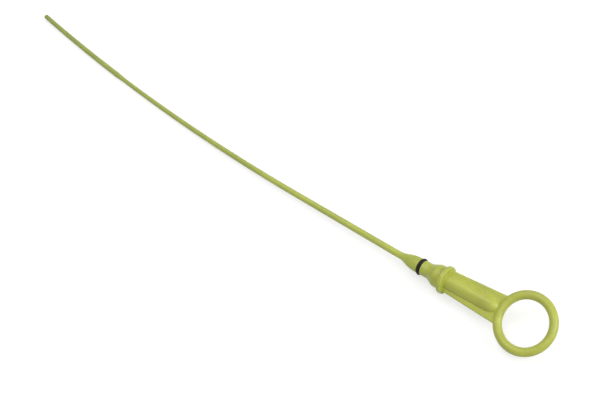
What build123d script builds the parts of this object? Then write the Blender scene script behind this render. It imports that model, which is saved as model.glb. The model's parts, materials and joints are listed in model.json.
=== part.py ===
from build123d import *
import os
from math import atan, cos, degrees, radians, sin, sqrt, tan

# Engine oil dipstick: stick, tube plug, grip and finger ring are one plastic moulding,
# and a rubber seal ring sits in a groove of the plug.
# Lengths along the handle are measured from the centre of the finger ring towards the tip.

os.makedirs("parts", exist_ok=True)

# Finger ring
ring_inside_diameter = 27.1
ring_bar_diameter = 5.26

# Grip: a flat web with a round barrel along its middle
ring_centre_to_collar = 53.0
web_thickness = 3.0
web_width_at_collar = 13.5
web_width_at_ring = 17.7
web_edge_radius = 0.7
barrel_diameter = 9.6
barrel_dome_length = 6.8
barrel_dome_sink = 1.6
grip_crease_radius = 0.5
ring_crease_radius = 0.4

# Collar and shoulder that stop on the tube mouth
collar_diameter = 17.1
collar_thickness = 2.6
collar_edge_radius = 0.6
shoulder_diameter = 13.8
shoulder_length = 4.85
shoulder_edge_radius = 1.5
shoulder_root_radius = 0.4

# Cone and plug that enter the tube
cone_half_angle = 25.0
cone_root_radius = 5.0
plug_diameter = 9.25
plug_length = 8.7
nose_length = 13.6
nose_hollow_radius = 12.8

# Seal ring and its groove
seal_outside_diameter = 10.5
seal_section_diameter = 2.0
seal_squeeze = 0.05
seal_from_nose = 2.5
groove_side_clearance = 0.3

# Stick: in the plane of the finger ring it leans to one side, runs straight and then bows
stick_root_diameter = 4.1
stick_neck_diameter = 2.85
stick_length = 255.4
stick_lean = 1.5
bend_radius = 230.0
straight_length = 76.0
bow_radius = 1805.0

# Blade that reads the oil level
blade_ramp_length = 8.0
blade_root_diameter = 3.65
blade_tip_diameter = 3.3
blade_length = 91.0
blade_tip_radius = 1.0
mark_depth = 0.25
mark_width = 0.8
low_mark_from_tip = 30.0
high_mark_from_tip = 56.0

# Lying on a bench, the dipstick rolls until the belly of its bow is down and touches with the blade
lie_roll = 17.1
belly_along_blade = 0.1

# Radii
ring_bar_radius = ring_bar_diameter / 2
ring_radius = ring_inside_diameter / 2 + ring_bar_radius
barrel_radius = barrel_diameter / 2
collar_radius = collar_diameter / 2
shoulder_radius = shoulder_diameter / 2
plug_radius = plug_diameter / 2
stick_root_radius = stick_root_diameter / 2
seal_section_radius = seal_section_diameter / 2
seal_radius = seal_outside_diameter / 2 - seal_section_radius
groove_floor_radius = seal_radius - seal_section_radius + seal_squeeze

# Stations along the handle axis, from the finger ring's centre towards the tip
cone_length = (shoulder_radius - plug_radius) / tan(radians(cone_half_angle))
dome_tip_x = -(ring_radius + ring_bar_radius - barrel_dome_sink)
dome_x = dome_tip_x - barrel_dome_length
collar_ring_x = -ring_centre_to_collar
collar_tip_x = collar_ring_x - collar_thickness
cone_ring_x = collar_tip_x - shoulder_length
cone_tip_x = cone_ring_x - cone_length
nose_x = cone_tip_x - plug_length
seal_x = nose_x + seal_from_nose
groove_half_width = seal_section_radius + groove_side_clearance
root_x = nose_x - nose_length
web_end_x = -(ring_radius + sqrt(ring_radius**2 - (web_width_at_ring / 2) ** 2)) / 2

# Stations along the stick, from its root towards the tip
lean = radians(stick_lean)
bow_start = bend_radius * lean + straight_length
blade_start = stick_length + blade_ramp_length
tip_station = blade_start + blade_length
blade_end = tip_station - blade_tip_radius
bow_turn = (blade_end - bow_start) / bow_radius

# Nose outline: a hollow arc from the stick, then a round arc to the plug, tangent to each other
nose_angle = 2 * atan((plug_radius - stick_root_radius) / nose_length)
nose_round_radius = nose_length / sin(nose_angle) - nose_hollow_radius

# Slope at which the collar's rim and the belly of the blade both touch the bench
roll_cos = cos(radians(lie_roll))
roll_sin = sin(radians(lie_roll))
rim_x = collar_tip_x + collar_edge_radius
bend_reach = bend_radius * tan(lean / 2)
rim_to_bend = rim_x - root_x + bend_reach
rim_to_bow = rim_to_bend + bend_reach + straight_length
lean_slope = roll_sin * tan(lean)
blade_taper = blade_root_diameter - blade_tip_diameter
blade_belly_radius = (blade_root_diameter - belly_along_blade * blade_taper) / 2
belly_rise = collar_radius - blade_belly_radius - rim_to_bend * lean_slope
bow_span = bow_radius / roll_sin
straight_slope = (sqrt(rim_to_bow**2 + 2 * bow_span * belly_rise) - rim_to_bow) / bow_span
lie_slope = straight_slope + lean_slope
pitch_cos = sqrt(1 - lie_slope**2)

# Place of the finger ring's centre, with the origin on the bench under the middle of the whole
tip_turn = lean + bow_turn
bow_reach = bow_radius * (sin(tip_turn) - sin(lean)) + blade_tip_radius * cos(tip_turn)
bow_rise = bow_radius * (cos(lean) - cos(tip_turn)) + blade_tip_radius * sin(tip_turn)
tip_x = root_x - bend_radius * sin(lean) - straight_length * cos(lean) - bow_reach
tip_y = bend_radius * (1 - cos(lean)) + straight_length * sin(lean) + bow_rise
low_end_x = tip_x * pitch_cos - tip_y * roll_sin * lie_slope
high_side_y = tip_y * roll_cos + blade_tip_diameter / 2
ring_end_x = ring_radius + ring_bar_radius
ring_side_y = ring_radius * roll_cos + ring_bar_radius
ring_height = collar_edge_radius + (collar_radius - collar_edge_radius) * pitch_cos - rim_x * lie_slope
ring_centre = ((-low_end_x - ring_end_x) / 2, (ring_side_y - high_side_y) / 2, ring_height)

laid = Plane(
    ring_centre,
    x_dir=(pitch_cos, 0, lie_slope),
    z_dir=(-lie_slope * roll_cos, -roll_sin, pitch_cos * roll_cos),
)
handle_axis = Axis(laid.origin, laid.x_dir)
ring_axis = Axis(laid.origin, laid.z_dir)


def blade_diameter_at(station):
    """Diameter of the tapered blade at a distance from the stick's root."""
    return blade_root_diameter - blade_taper * (station - blade_start) / (blade_end - blade_start)


def corner(profile, x, radius):
    """Vertex of a profile nearest to a station on the axis and a radius."""
    return profile.vertices().sort_by_distance((x, radius, 0))[0]


# Stretches of the stick: start, end and the diameter at each, broken by the two level marks
stretches = [
    (0, stick_length, stick_root_diameter, stick_neck_diameter),
    (stick_length, blade_start, stick_neck_diameter, blade_root_diameter),
]
reached = blade_start
for mark_from_tip in (high_mark_from_tip, low_mark_from_tip):
    mark = tip_station - mark_from_tip
    mark_start = mark - mark_width / 2
    mark_end = mark + mark_width / 2
    floor = blade_diameter_at(mark) - 2 * mark_depth
    stretches.append((reached, mark_start, blade_diameter_at(reached), blade_diameter_at(mark_start)))
    stretches.append((mark_start, mark_end, floor, floor))
    reached = mark_end
stretches.append((reached, blade_end, blade_diameter_at(reached), blade_tip_diameter))

with BuildPart() as moulding:
    # Turned core: nose, plug with seal groove, cone, shoulder, collar and domed barrel
    with BuildSketch(laid) as core:
        with BuildLine():
            root = Line((root_x, 0), (root_x, stick_root_radius))
            hollow = JernArc(root @ 1, (1, 0), nose_hollow_radius, degrees(nose_angle))
            crown = JernArc(hollow @ 1, hollow % 1, nose_round_radius, -degrees(nose_angle))
            Polyline(
                crown @ 1,
                (seal_x - groove_half_width, plug_radius),
                (seal_x - groove_half_width, groove_floor_radius),
                (seal_x + groove_half_width, groove_floor_radius),
                (seal_x + groove_half_width, plug_radius),
                (cone_tip_x, plug_radius),
                (cone_ring_x, shoulder_radius),
                (collar_tip_x, shoulder_radius),
                (collar_tip_x, collar_radius),
                (collar_ring_x, collar_radius),
                (collar_ring_x, barrel_radius),
                (dome_x, barrel_radius),
            )
            dome = EllipticalCenterArc(
                (dome_x, 0), barrel_dome_length, barrel_radius, start_angle=0, arc_size=90
            )
            Line(dome @ 0, root @ 0)
        make_face()
        fillet(corner(core, cone_tip_x, plug_radius), cone_root_radius)
        fillet(corner(core, cone_ring_x, shoulder_radius), shoulder_edge_radius)
        fillet(corner(core, collar_tip_x, shoulder_radius), shoulder_root_radius)
        fillet(corner(core, collar_tip_x, collar_radius), collar_edge_radius)
        fillet(corner(core, collar_ring_x, collar_radius), collar_edge_radius)
    revolve(axis=handle_axis)

    # Flat web with rounded rims, from the collar into the ring's bar
    for x, width in ((collar_ring_x, web_width_at_collar), (web_end_x, web_width_at_ring)):
        with BuildSketch(Plane(laid.origin + laid.x_dir * x, x_dir=laid.y_dir, z_dir=laid.x_dir)):
            RectangleRounded(width, web_thickness, web_edge_radius)
    loft()
    web_seams = moulding.edges(Select.NEW)
    collar_foot = moulding.edges(Select.LAST).group_by(handle_axis)[0]
    fillet(web_seams + collar_foot, grip_crease_radius)

    # Finger ring
    with BuildSketch(Plane(laid.origin, laid.x_dir, -laid.y_dir)):
        with Locations((ring_radius, 0)):
            Circle(ring_bar_radius)
    revolve(axis=ring_axis)
    fillet(moulding.edges(Select.NEW), ring_crease_radius)

    # Stick, ramp and blade: tapered stretches end to end along one smooth path
    with BuildLine() as flat_path:
        bend = JernArc((root_x, 0), (-1, 0), bend_radius, -stick_lean)
        straight = PolarLine(bend @ 1, straight_length, direction=bend % 1)
        JernArc(straight @ 1, straight % 1, bow_radius, -degrees(bow_turn))
    path = laid * flat_path.wire()
    for start, end, start_diameter, end_diameter in stretches:
        run = path.trim(start / blade_end, end / blade_end)
        with BuildSketch(Plane(run @ 0, z_dir=run % 0)):
            Circle(start_diameter / 2)
        with BuildSketch(Plane(run @ 1, z_dir=run % 1)):
            Circle(end_diameter / 2)
        sweep(path=run, multisection=True)

    # Turned cap with a rounded rim at the tip
    with BuildSketch(Plane(path @ 1, x_dir=path % 1, z_dir=laid.z_dir)):
        with BuildLine():
            rim = JernArc((0, blade_tip_diameter / 2), (1, 0), blade_tip_radius, -90)
            Polyline(rim @ 1, (blade_tip_radius, 0), (0, 0), rim @ 0)
        make_face()
    revolve(axis=Axis(path @ 1, path % 1))

moulding.part.label = "dipstick_moulding"
export_step(moulding.part, "parts/dipstick_moulding.step")

with BuildPart() as seal:
    with BuildSketch(laid):
        with Locations((seal_x, seal_radius)):
            Circle(seal_section_radius)
        with Locations((seal_x, 0)):
            Rectangle(seal_section_diameter, 2 * groove_floor_radius, mode=Mode.SUBTRACT)
    revolve(axis=handle_axis)

seal.part.label = "seal_ring"
export_step(seal.part, "parts/seal_ring.step")
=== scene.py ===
"""Looks of a moulded engine oil dipstick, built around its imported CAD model.

The dipstick lies on a pale floor. Its moulding keeps the CAD surface and gets a satin plastic
finish and the fine seam that its mould leaves. Its seal ring is rebuilt with a flash line.
Sizes are in metres, in the frame of the CAD model.
"""

import json
import logging
import math
from dataclasses import dataclass, field
from enum import Enum
from typing import NamedTuple

import bmesh
import bpy
from mathutils import Matrix, Vector
from mathutils.bvhtree import BVHTree

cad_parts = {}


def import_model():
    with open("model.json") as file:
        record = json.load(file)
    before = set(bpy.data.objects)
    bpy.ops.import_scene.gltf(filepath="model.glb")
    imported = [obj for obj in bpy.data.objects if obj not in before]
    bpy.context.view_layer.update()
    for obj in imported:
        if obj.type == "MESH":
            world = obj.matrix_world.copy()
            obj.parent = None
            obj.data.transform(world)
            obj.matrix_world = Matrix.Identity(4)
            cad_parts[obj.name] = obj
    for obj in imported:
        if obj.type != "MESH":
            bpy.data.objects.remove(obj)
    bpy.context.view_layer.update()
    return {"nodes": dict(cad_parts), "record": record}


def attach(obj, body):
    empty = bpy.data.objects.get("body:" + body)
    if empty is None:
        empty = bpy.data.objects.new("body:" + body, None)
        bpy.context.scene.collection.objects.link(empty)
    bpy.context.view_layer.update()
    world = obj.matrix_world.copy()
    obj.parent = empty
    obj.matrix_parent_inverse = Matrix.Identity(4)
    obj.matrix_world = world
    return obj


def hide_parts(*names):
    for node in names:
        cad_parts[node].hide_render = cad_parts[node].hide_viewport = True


log = logging.getLogger("dipstick")

Colour = tuple[float, float, float, float]
Point = tuple[float, float, float]
Span = tuple[float, float]
Socket = bpy.types.NodeSocket
Loop = list[bmesh.types.BMVert]

UNIT: Span = (0.0, 1.0)
NOISE_SPAN: Span = (0.35, 0.65)


class Node(str, Enum):
    """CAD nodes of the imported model."""

    MOULDING = "dipstick_moulding"
    SEAL = "seal_ring"


class Slot(str, Enum):
    """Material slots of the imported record."""

    PLASTIC = "moulded_plastic"
    RUBBER = "seal_rubber"


class Side(Enum):
    """The two sides of the dipstick in the plane of its bow."""

    HOLLOW = 1
    BELLY = -1


class Graph:
    """Adds and links shader nodes in one node tree."""

    def __init__(self, tree: bpy.types.NodeTree) -> None:
        """Empties a tree and keeps it.

        Args:
            tree: the node tree to fill.
        """
        self.tree = tree
        tree.nodes.clear()

    def add(
        self, kind: str, values: dict[str, object] | None = None, **settings: object
    ) -> bpy.types.Node:
        """Adds one node.

        Args:
            kind: Blender's name of the node type.
            values: default values of the node's inputs, by socket name.
            settings: the node's own properties, which are set first.

        Returns:
            The new node.
        """
        node = self.tree.nodes.new(kind)
        for name, value in settings.items():
            setattr(node, name, value)
        for name, value in (values or {}).items():
            node.inputs[name].default_value = value
        return node

    def link(self, source: Socket, target: Socket) -> None:
        """Links an output socket to an input socket."""
        self.tree.links.new(source, target)

    def remap(self, source: Socket, span: Span, result: Span) -> Socket:
        """Maps a value from one range to another, clamped.

        Args:
            source: the value to map.
            span: the range that it has.
            result: the range to map it to.

        Returns:
            The socket of the mapped value.
        """
        names = ("From Min", "From Max", "To Min", "To Max")
        node = self.add("ShaderNodeMapRange", dict(zip(names, span + result)))
        self.link(source, node.inputs["Value"])
        return node.outputs["Result"]

    def combine(self, operation: str, first: Socket, second: Socket) -> Socket:
        """Combines two values.

        Args:
            operation: Blender's name of the operation.
            first: the first value.
            second: the second value.

        Returns:
            The socket of the result.
        """
        node = self.add("ShaderNodeMath", operation=operation)
        self.link(first, node.inputs[0])
        self.link(second, node.inputs[1])
        return node.outputs["Value"]

    def ramp(self, source: Socket, stops: list[tuple[float, Colour]]) -> Socket:
        """Colours a surface by a value, with even changes between its stops.

        Args:
            source: the value that the colour follows.
            stops: rising values and the colour at each.

        Returns:
            The socket of the colour.
        """
        span = (stops[0][0], stops[-1][0])
        node = self.add("ShaderNodeValToRGB")
        elements = node.color_ramp.elements
        for value, colour in stops[1:-1]:
            elements.new((value - span[0]) / (span[1] - span[0])).color = colour
        elements[0].color = stops[0][1]
        elements[-1].color = stops[-1][1]
        self.link(self.remap(source, span, UNIT), node.inputs["Fac"])
        return node.outputs["Color"]

    def raise_grain(self, grain: Socket, height: float, strength: float) -> Socket:
        """Raises a fine grain on the surface.

        Args:
            grain: the value that the height follows.
            height: the height of the grain.
            strength: the share of that height that shows.

        Returns:
            The socket of the surface's normal.
        """
        bump = self.add("ShaderNodeBump", {"Strength": strength, "Distance": height})
        self.link(grain, bump.inputs["Height"])
        return bump.outputs["Normal"]

    def finish_with(self, shader: bpy.types.Node, kind: str = "ShaderNodeOutputMaterial") -> None:
        """Sends a shader to the tree's output.

        Args:
            shader: the node whose first output is the shader.
            kind: Blender's name of the output node.
        """
        self.link(shader.outputs[0], self.add(kind).inputs["Surface"])

    def finish_solid(self, fixed: dict[str, object], varying: dict[str, Socket]) -> None:
        """Sends the shader of a solid surface to the material's output.

        Args:
            fixed: values that are the same all over the surface, by socket name.
            varying: values that change over the surface, by socket name.
        """
        shader = self.add("ShaderNodeBsdfPrincipled", fixed)
        for name, source in varying.items():
            self.link(source, shader.inputs[name])
        self.finish_with(shader)


def new_material(name: str) -> tuple[bpy.types.Material, Graph]:
    """Makes an empty material.

    Args:
        name: its name.

    Returns:
        The material and the graph of its nodes.
    """
    material = bpy.data.materials.new(name)
    material.use_nodes = True
    return material, Graph(material.node_tree)


class SkinLayer(NamedTuple):
    """One layer of noise in a moulded skin."""

    output: str
    scale: str
    detail: float
    drawn_out: bool


SKIN_LAYERS = (
    SkinLayer("Clouds", "Cloud Scale", detail=3.0, drawn_out=False),
    SkinLayer("Streaks", "Streak Scale", detail=2.0, drawn_out=True),
    SkinLayer("Grain", "Grain Scale", detail=2.0, drawn_out=False),
)
STREAK_STRETCH: Point = (0.03, 1.0, 1.0)


def moulded_skin_group() -> bpy.types.NodeTree:
    """Makes the node group of a moulded skin: clouds of tone, flow streaks and a fine grain.

    Returns:
        The group, with inputs for the three scales and outputs Clouds, Streaks and Grain.
    """
    group = bpy.data.node_groups.new("moulded_skin", "ShaderNodeTree")
    for layer in SKIN_LAYERS:
        group.interface.new_socket(layer.scale, in_out="INPUT", socket_type="NodeSocketFloat")
        group.interface.new_socket(layer.output, in_out="OUTPUT", socket_type="NodeSocketFloat")
    graph = Graph(group)
    inputs = graph.add("NodeGroupInput")
    outputs = graph.add("NodeGroupOutput")
    place = graph.add("ShaderNodeTexCoord").outputs["Object"]
    stretch = graph.add("ShaderNodeMapping", {"Scale": STREAK_STRETCH})
    graph.link(place, stretch.inputs["Vector"])
    for layer in SKIN_LAYERS:
        noise = graph.add("ShaderNodeTexNoise", {"Detail": layer.detail})
        vector = stretch.outputs["Vector"] if layer.drawn_out else place
        graph.link(vector, noise.inputs["Vector"])
        graph.link(inputs.outputs[layer.scale], noise.inputs["Scale"])
        graph.link(noise.outputs["Fac"], outputs.inputs[layer.output])
    return group


@dataclass(frozen=True)
class PlasticFinish:
    """Satin yellow-green plastic, greener past the collar and darker along the stick to its tip;
    the stick's colour also holds painted light that makes the thin stick lighter.
    """

    handle: Colour = (0.498, 0.538, 0.082, 1.0)
    nose: Colour = (0.488, 0.552, 0.077, 1.0)
    # stick: the plastic's greener tone plus painted light, which makes the thin stick lighter and
    # bluer than the handle
    stick: Colour = (0.508, 0.566, 0.096, 1.0)
    tip: Colour = (0.352, 0.412, 0.077, 1.0)
    handle_x: float = 0.160
    nose_x: float = 0.130
    stick_x: float = 0.110
    tip_x: float = -0.228
    cloud_scale: float = 70.0
    streak_scale: float = 420.0
    grain_scale: float = 1900.0
    cloud_tone: Span = (0.93, 1.06)
    streak_tone: Span = (1.03, 0.94)
    roughness: Span = (0.28, 0.40)
    grain_height: float = 0.00005
    grain_strength: float = 1.0
    refraction: float = 1.50
    depth_share: float = 0.12
    depth: float = 0.001
    depth_by_colour: Point = (1.0, 1.0, 0.3)

    def material(self, skin: bpy.types.NodeTree) -> bpy.types.Material:
        """Builds the plastic.

        Args:
            skin: the moulded skin group.

        Returns:
            The material.
        """
        material, graph = new_material("satin_plastic")
        scales = {
            "Cloud Scale": self.cloud_scale,
            "Streak Scale": self.streak_scale,
            "Grain Scale": self.grain_scale,
        }
        surface = graph.add("ShaderNodeGroup", scales, node_tree=skin).outputs
        fixed = {
            "IOR": self.refraction,
            "Subsurface Weight": self.depth_share,
            "Subsurface Scale": self.depth,
            "Subsurface Radius": self.depth_by_colour,
        }
        varying = {
            "Base Color": self.tint(graph, surface["Clouds"], surface["Streaks"]),
            "Roughness": graph.remap(surface["Clouds"], NOISE_SPAN, self.roughness),
            "Normal": graph.raise_grain(surface["Grain"], self.grain_height, self.grain_strength),
        }
        graph.finish_solid(fixed, varying)
        return material

    def tint(self, graph: Graph, clouds: Socket, streaks: Socket) -> Socket:
        """Colours the plastic along the dipstick, with faint clouds and streaks.

        Args:
            graph: the graph of the plastic.
            clouds: the skin's clouds.
            streaks: the skin's flow streaks.

        Returns:
            The socket of the colour.
        """
        axes = graph.add("ShaderNodeSeparateXYZ")
        graph.link(graph.add("ShaderNodeTexCoord").outputs["Object"], axes.inputs["Vector"])
        stops = [
            (self.tip_x, self.tip),
            # this stop carries the painted light on the thin stick
            (self.stick_x, self.stick),
            (self.nose_x, self.nose),
            (self.handle_x, self.handle),
        ]
        cloudy = graph.remap(clouds, NOISE_SPAN, self.cloud_tone)
        streaky = graph.remap(streaks, NOISE_SPAN, self.streak_tone)
        toned = graph.add("ShaderNodeHueSaturation")
        graph.link(graph.ramp(axes.outputs["X"], stops), toned.inputs["Color"])
        graph.link(graph.combine("MULTIPLY", cloudy, streaky), toned.inputs["Value"])
        return toned.outputs["Color"]


@dataclass(frozen=True)
class RubberFinish:
    """Black rubber with a faint grey bloom."""

    black: Colour = (0.006, 0.006, 0.004, 1.0)
    bloom: Colour = (0.018, 0.019, 0.011, 1.0)
    cloud_scale: float = 260.0
    grain_scale: float = 5200.0
    roughness: Span = (0.55, 0.70)
    grain_height: float = 0.000015
    grain_strength: float = 0.6
    refraction: float = 1.52
    gloss: float = 0.2

    def material(self, skin: bpy.types.NodeTree) -> bpy.types.Material:
        """Builds the rubber.

        Args:
            skin: the moulded skin group, of which the streaks stay unused.

        Returns:
            The material.
        """
        material, graph = new_material("seal_rubber_black")
        scales = {"Cloud Scale": self.cloud_scale, "Grain Scale": self.grain_scale}
        surface = graph.add("ShaderNodeGroup", scales, node_tree=skin).outputs
        low, high = NOISE_SPAN
        fixed = {"IOR": self.refraction, "Specular IOR Level": self.gloss}
        varying = {
            "Base Color": graph.ramp(surface["Clouds"], [(low, self.black), (high, self.bloom)]),
            "Roughness": graph.remap(surface["Clouds"], NOISE_SPAN, self.roughness),
            "Normal": graph.raise_grain(surface["Grain"], self.grain_height, self.grain_strength),
        }
        graph.finish_solid(fixed, varying)
        return material


def axes_at(place: Vector, x: Vector, y: Vector, z: Vector) -> Matrix:
    """Gives the matrix that puts three axes at a place."""
    return Matrix.Translation(place) @ Matrix((x, y, z)).transposed().to_4x4()


@dataclass
class HandleFrame:
    """The moulding's own axes, with the centre of the finger ring as origin.

    The x axis runs from tip to ring, y to the hollow of the bow and z out of the ring's face.
    """

    record: dict
    mount_to_ring: float = 0.0580587
    roll: float = math.radians(17.1)
    matrix: Matrix = field(init=False)

    def __post_init__(self) -> None:
        """Finds the axes from the tube mount, which lies on the handle's own axis."""
        mount = next(m for m in self.record["mounts"] if m["name"] == "tube_mouth")
        x_axis = -Vector(mount["axis"]).normalized()
        ring_centre = Vector(mount["pos_m"]) + x_axis * self.mount_to_ring
        level = Vector((0.0, 0.0, 1.0)).cross(x_axis).normalized()
        y_axis = (Matrix.Rotation(self.roll, 3, x_axis) @ level).normalized()
        self.matrix = axes_at(ring_centre, x_axis, y_axis, x_axis.cross(y_axis))

    def point(self, x: float, y: float, z: float = 0.0) -> Vector:
        """Gives a point of the moulding's own axes in the CAD frame."""
        return self.matrix @ Vector((x, y, z))

    def direction(self, x: float, y: float, z: float = 0.0) -> Vector:
        """Gives a direction of the moulding's own axes in the CAD frame."""
        return (self.matrix.to_3x3() @ Vector((x, y, z))).normalized()


def add_object(name: str, data: bpy.types.ID) -> bpy.types.Object:
    """Puts a mesh, a lamp or a camera into the scene.

    Args:
        name: the object's name.
        data: its mesh, lamp or camera.

    Returns:
        The new object.
    """
    added = bpy.data.objects.new(name, data)
    bpy.context.scene.collection.objects.link(added)
    return added


def add_mesh(name: str, mesh: bmesh.types.BMesh, material: bpy.types.Material) -> bpy.types.Object:
    """Puts a built mesh into the scene.

    Args:
        name: the object's name.
        mesh: its mesh, which is freed here.
        material: its material.

    Returns:
        The new object.
    """
    data = bpy.data.meshes.new(name)
    mesh.to_mesh(data)
    mesh.free()
    data.materials.append(material)
    return add_object(name, data)


def add_piece(
    name: str, mesh: bmesh.types.BMesh, material: bpy.types.Material
) -> bpy.types.Object:
    """Turns a built mesh into a smooth piece that rides on the dipstick.

    Args:
        name: the piece's name.
        mesh: its mesh, which is freed here.
        material: its material.

    Returns:
        The new object.
    """
    bmesh.ops.recalc_face_normals(mesh, faces=mesh.faces[:])
    for face in mesh.faces:
        face.smooth = True
    piece = add_mesh(name, mesh, material)
    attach(piece, "root")
    log.info("%s: %d faces", name, len(piece.data.polygons))
    return piece


def bridge(mesh: bmesh.types.BMesh, first: Loop, second: Loop) -> None:
    """Joins two closed loops of as many vertices by a strip of faces.

    Args:
        mesh: the mesh of both loops.
        first: vertices of one loop.
        second: vertices of the other loop, in the same order.
    """
    for k, vertex in enumerate(first):
        mesh.faces.new((vertex, first[k - 1], second[k - 1], second[k]))


class SurfacePoint(NamedTuple):
    """A place on the moulding's surface and the direction out of it."""

    place: Vector
    normal: Vector


@dataclass
class Moulding:
    """The plastic moulding: CAD surface, plastic finish and the seam of its mould."""

    handle: HandleFrame
    tip_x: float = -0.4390
    nose_x: float = -0.0762
    plug_x: float = -0.0652
    ring_joint_x: float = -0.0168
    cast_reach: float = 0.060
    seam_step: float = 0.0004
    seam_half_width: float = 0.00016
    seam_height: float = 0.00006
    seam_sink: float = 0.00010
    seam_run_out: float = 0.003
    crown_share: float = 0.6
    flank_share: float = 0.75
    bore_steps: int = 180

    def dress(self, node: bpy.types.Object, material: bpy.types.Material) -> None:
        """Gives the CAD moulding its finish and its seams.

        Args:
            node: the CAD moulding.
            material: the plastic.
        """
        for slot in node.material_slots:
            slot.material = material
        corners = [node.matrix_world @ vertex.co for vertex in node.data.vertices]
        faces = [tuple(polygon.vertices) for polygon in node.data.polygons]
        skin = BVHTree.FromPolygons(corners, faces)
        for side in Side:
            name = side.name.lower()
            stick = self.side_line(skin, side, self.tip_x, self.nose_x)
            grip = self.side_line(skin, side, self.plug_x, self.ring_joint_x)
            self.add_seam(f"stick_seam_{name}", stick, material)
            self.add_seam(f"grip_seam_{name}", grip + self.rim_line(skin, side, grip[-1]), material)
        self.add_seam("ring_seam_inside", self.bore_line(skin), material, closed=True)
        log.info("%s dressed", node.name)

    def cast(
        self, skin: BVHTree, x: float, y: float, inward_x: float, inward_y: float
    ) -> SurfacePoint:
        """Finds the surface from a point in the plane where the mould parts.

        Args:
            skin: the CAD surface.
            x: station of the point on the handle's axis.
            y: its distance from that axis.
            inward_x: direction of the cast along the axis.
            inward_y: direction of the cast across the axis.

        Returns:
            The place that the cast meets first.
        """
        start = self.handle.point(x, y)
        place, normal, _, _ = skin.ray_cast(start, self.handle.direction(inward_x, inward_y))
        return SurfacePoint(place, normal)

    def side_line(
        self, skin: BVHTree, side: Side, start: float, end: float
    ) -> list[SurfacePoint]:
        """Follows the surface along one side, from the tip towards the ring.

        Args:
            skin: the CAD surface.
            side: the side to follow.
            start: first station on the handle's axis.
            end: last station on the handle's axis.

        Returns:
            Points on the surface.
        """
        count = round((end - start) / self.seam_step)
        stations = (start + (end - start) * index / count for index in range(count + 1))
        far = side.value * self.cast_reach
        return [self.cast(skin, x, far, 0.0, -side.value) for x in stations]

    def rim_line(self, skin: BVHTree, side: Side, joint: SurfacePoint) -> list[SurfacePoint]:
        """Follows the ring's outer edge from the web to the far end.

        Args:
            skin: the CAD surface.
            side: the side to follow.
            joint: the last point on the web.

        Returns:
            Points on the surface.
        """
        local = self.handle.matrix.inverted() @ joint.place
        first = math.atan2(abs(local.y), local.x)
        count = round(first * local.length / self.seam_step)
        points = []
        for index in range(1, count + 1):
            angle = first * (1 - index / count)
            x, y = math.cos(angle), side.value * math.sin(angle)
            points.append(self.cast(skin, x * self.cast_reach, y * self.cast_reach, -x, -y))
        return points

    def bore_line(self, skin: BVHTree) -> list[SurfacePoint]:
        """Follows the inside of the finger ring once round."""
        angles = (math.tau * index / self.bore_steps for index in range(self.bore_steps))
        return [self.cast(skin, 0.0, 0.0, math.cos(angle), math.sin(angle)) for angle in angles]

    def add_seam(
        self,
        name: str,
        line: list[SurfacePoint],
        material: bpy.types.Material,
        closed: bool = False,
    ) -> None:
        """Lays a fine raised bead along a line on the surface.

        Args:
            name: the bead's name.
            line: points on the surface.
            material: the plastic.
            closed: whether the last point joins the first.
        """
        across = self.handle.direction(0.0, 0.0, 1.0)
        mesh = bmesh.new()
        loops = []
        last = len(line) - 1
        for index, point in enumerate(line):
            before = line[index - 1] if index or closed else point
            after = line[(index + 1) % len(line)] if index < last or closed else point
            out = (after.place - before.place).cross(across).normalized()
            if out.dot(point.normal) < 0:
                out.negate()
            from_end = min(index, last - index) * self.seam_step
            grown = 1.0 if closed else min(1.0, from_end / self.seam_run_out)
            places = [point.place + across * u + out * v for u, v in self.section(grown)]
            loops.append([mesh.verts.new(place) for place in places])
        for index in range(len(line) if closed else last):
            bridge(mesh, loops[index], loops[(index + 1) % len(line)])
        if not closed:
            mesh.faces.new(loops[0])
            mesh.faces.new(loops[-1])
        add_piece(name, mesh, material)

    def section(self, grown: float) -> list[tuple[float, float]]:
        """Gives the bead's section, lower towards its ends.

        Args:
            grown: the share of the full height.

        Returns:
            Offsets across the seam and out of the surface.
        """
        half, sink = self.seam_half_width, self.seam_sink
        flank = half * self.crown_share
        crown = self.seam_height * grown
        rise = (sink + crown) * self.flank_share - sink
        return [(-half, -sink), (half, -sink), (flank, rise), (0.0, crown), (-flank, rise)]


@dataclass
class SealRing:
    """The rubber seal ring in the plug's groove, with the flash line of its mould."""

    handle: HandleFrame
    station: float = -0.0715288
    section_radius: float = 0.001
    centre_radius: float = 0.00425
    floor_radius: float = 0.0033
    flash_height: float = 0.00005
    flash_width: float = 0.00012
    section_points: int = 48
    turns: int = 160

    def section(self) -> list[tuple[float, float]]:
        """Gives the section: round, flat on the groove's floor, with a flash line outside.

        Returns:
            Offsets along the axis and radii from it.
        """
        points = []
        for index in range(self.section_points):
            angle = math.tau * index / self.section_points
            along = self.section_radius * math.cos(angle)
            radius = self.centre_radius + self.section_radius * math.sin(angle)
            if math.sin(angle) > 0:
                radius += self.flash_height * math.exp(-((along / self.flash_width) ** 2))
            points.append((along, max(radius, self.floor_radius)))
        return points

    def build(self, material: bpy.types.Material) -> None:
        """Turns the section round the handle's axis, to stand for the CAD seal ring.

        Args:
            material: the rubber.
        """
        mesh = bmesh.new()
        section = self.section()
        loops = []
        for turn in range(self.turns):
            angle = math.tau * turn / self.turns
            y, z = math.cos(angle), math.sin(angle)
            places = [
                self.handle.point(self.station + along, radius * y, radius * z)
                for along, radius in section
            ]
            loops.append([mesh.verts.new(place) for place in places])
        for turn, loop in enumerate(loops):
            bridge(mesh, loop, loops[turn - 1])
        piece = add_piece("seal_ring_rubber", mesh, material)
        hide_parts(Node.SEAL.value)


class Lamp(NamedTuple):
    """A round soft lamp that faces the dipstick."""

    name: str
    place: Point
    size: float
    power: float


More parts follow.
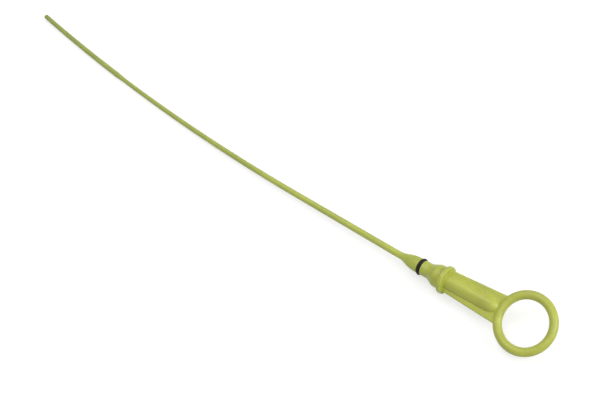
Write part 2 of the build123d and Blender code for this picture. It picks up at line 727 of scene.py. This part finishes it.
@dataclass
class Studio:
    """Pale floor, soft light and the camera."""

    floor_half: float = 4.0
    floor_cells: int = 8
    floor_colour: Colour = (0.50, 0.50, 0.50, 1.0)
    floor_glow: float = 0.64
    sky_level: float = 0.47
    sky_white: float = 1.0
    lamps: tuple[Lamp, ...] = (
        Lamp("side_lamp", (1.325, 0.503, 0.685), 1.0, 10.2),
        Lamp("front_lamp", (0.764, -0.215, 1.296), 1.0, 3.7),
        Lamp("top_lamp", (-0.341, 0.243, 1.342), 1.0, 4.9),
    )
    camera_place: Point = (0.414510, -0.205013, 0.627956)
    camera_aim: Point = (0.041198, -0.004457, 0.0)
    camera_up: Point = (-0.427458, 0.756086, 0.495597)
    lens_mm: float = 72.0
    sensor_mm: float = 36.0
    near: float = 0.01

    def build(self) -> None:
        """Sets the stage, the light and the camera."""
        self.add_floor()
        self.add_sky()
        for lamp in self.lamps:
            self.add_lamp(lamp)
        self.add_camera()
        bpy.context.scene.view_settings.view_transform = "Standard"
        log.info("studio set")

    def seen_directly(self, graph: Graph) -> Socket:
        """Tells rays that show the background itself, in the view, in gloss or through glass.

        Args:
            graph: the graph of the floor or the sky.

        Returns:
            The socket of a value that is 1 for such rays and 0 for others.
        """
        path = graph.add("ShaderNodeLightPath")
        seen = path.outputs["Is Camera Ray"]
        for name in ("Is Glossy Ray", "Is Transmission Ray"):
            seen = graph.combine("MAXIMUM", seen, path.outputs[name])
        return seen

    def add_floor(self) -> None:
        """Adds the floor, which keeps the shadow and looks white where nothing shades it."""
        material, graph = new_material("pale_floor")
        matt = graph.add("ShaderNodeBsdfDiffuse", {"Color": self.floor_colour})
        glow = graph.add("ShaderNodeEmission")
        level = graph.remap(self.seen_directly(graph), UNIT, (0.0, self.floor_glow))
        graph.link(level, glow.inputs["Strength"])
        both = graph.add("ShaderNodeAddShader")
        graph.link(matt.outputs["BSDF"], both.inputs[0])
        graph.link(glow.outputs["Emission"], both.inputs[1])
        graph.finish_with(both)
        mesh = bmesh.new()
        cells = self.floor_cells
        bmesh.ops.create_grid(mesh, x_segments=cells, y_segments=cells, size=self.floor_half)
        floor = add_mesh("floor", mesh, material)

    def add_sky(self) -> None:
        """Adds even light from all round, which looks white in the view."""
        world = bpy.data.worlds.new("soft_sky")
        world.use_nodes = True
        graph = Graph(world.node_tree)
        sky = graph.add("ShaderNodeBackground")
        level = graph.remap(self.seen_directly(graph), UNIT, (self.sky_level, self.sky_white))
        graph.link(level, sky.inputs["Strength"])
        graph.finish_with(sky, "ShaderNodeOutputWorld")
        bpy.context.scene.world = world

    def add_lamp(self, lamp: Lamp) -> None:
        """Adds a lamp.

        Args:
            lamp: its place, size and power.
        """
        data = bpy.data.lights.new(lamp.name, "AREA")
        data.shape = "DISK"
        data.size = lamp.size
        data.energy = lamp.power
        place = Vector(lamp.place)
        shining = add_object(lamp.name, data)
        shining.location = place
        shining.rotation_euler = (-place).to_track_quat("-Z", "Y").to_euler()

    def add_camera(self) -> None:
        """Adds the camera, which looks down on the ring while the stick runs away from it."""
        data = bpy.data.cameras.new("camera")
        data.lens = self.lens_mm
        data.sensor_width = self.sensor_mm
        data.clip_start = self.near
        place = Vector(self.camera_place)
        back = (place - Vector(self.camera_aim)).normalized()
        right = Vector(self.camera_up).cross(back).normalized()
        camera = add_object("camera", data)
        camera.matrix_world = axes_at(place, right, back.cross(right), back)
        bpy.context.scene.camera = camera


def main() -> None:
    """Builds the looks in order: finishes, moulding, seal ring and studio."""
    logging.basicConfig(level=logging.INFO, format="%(name)s: %(message)s")
    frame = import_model()
    skin = moulded_skin_group()
    plastic = PlasticFinish().material(skin)
    rubber = RubberFinish().material(skin)
    handle = HandleFrame(frame["record"])
    Moulding(handle).dress(frame["nodes"][Node.MOULDING.value], plastic)
    SealRing(handle).build(rubber)
    Studio().build()
    bpy.context.view_layer.update()


if __name__ == "__main__":
    main()
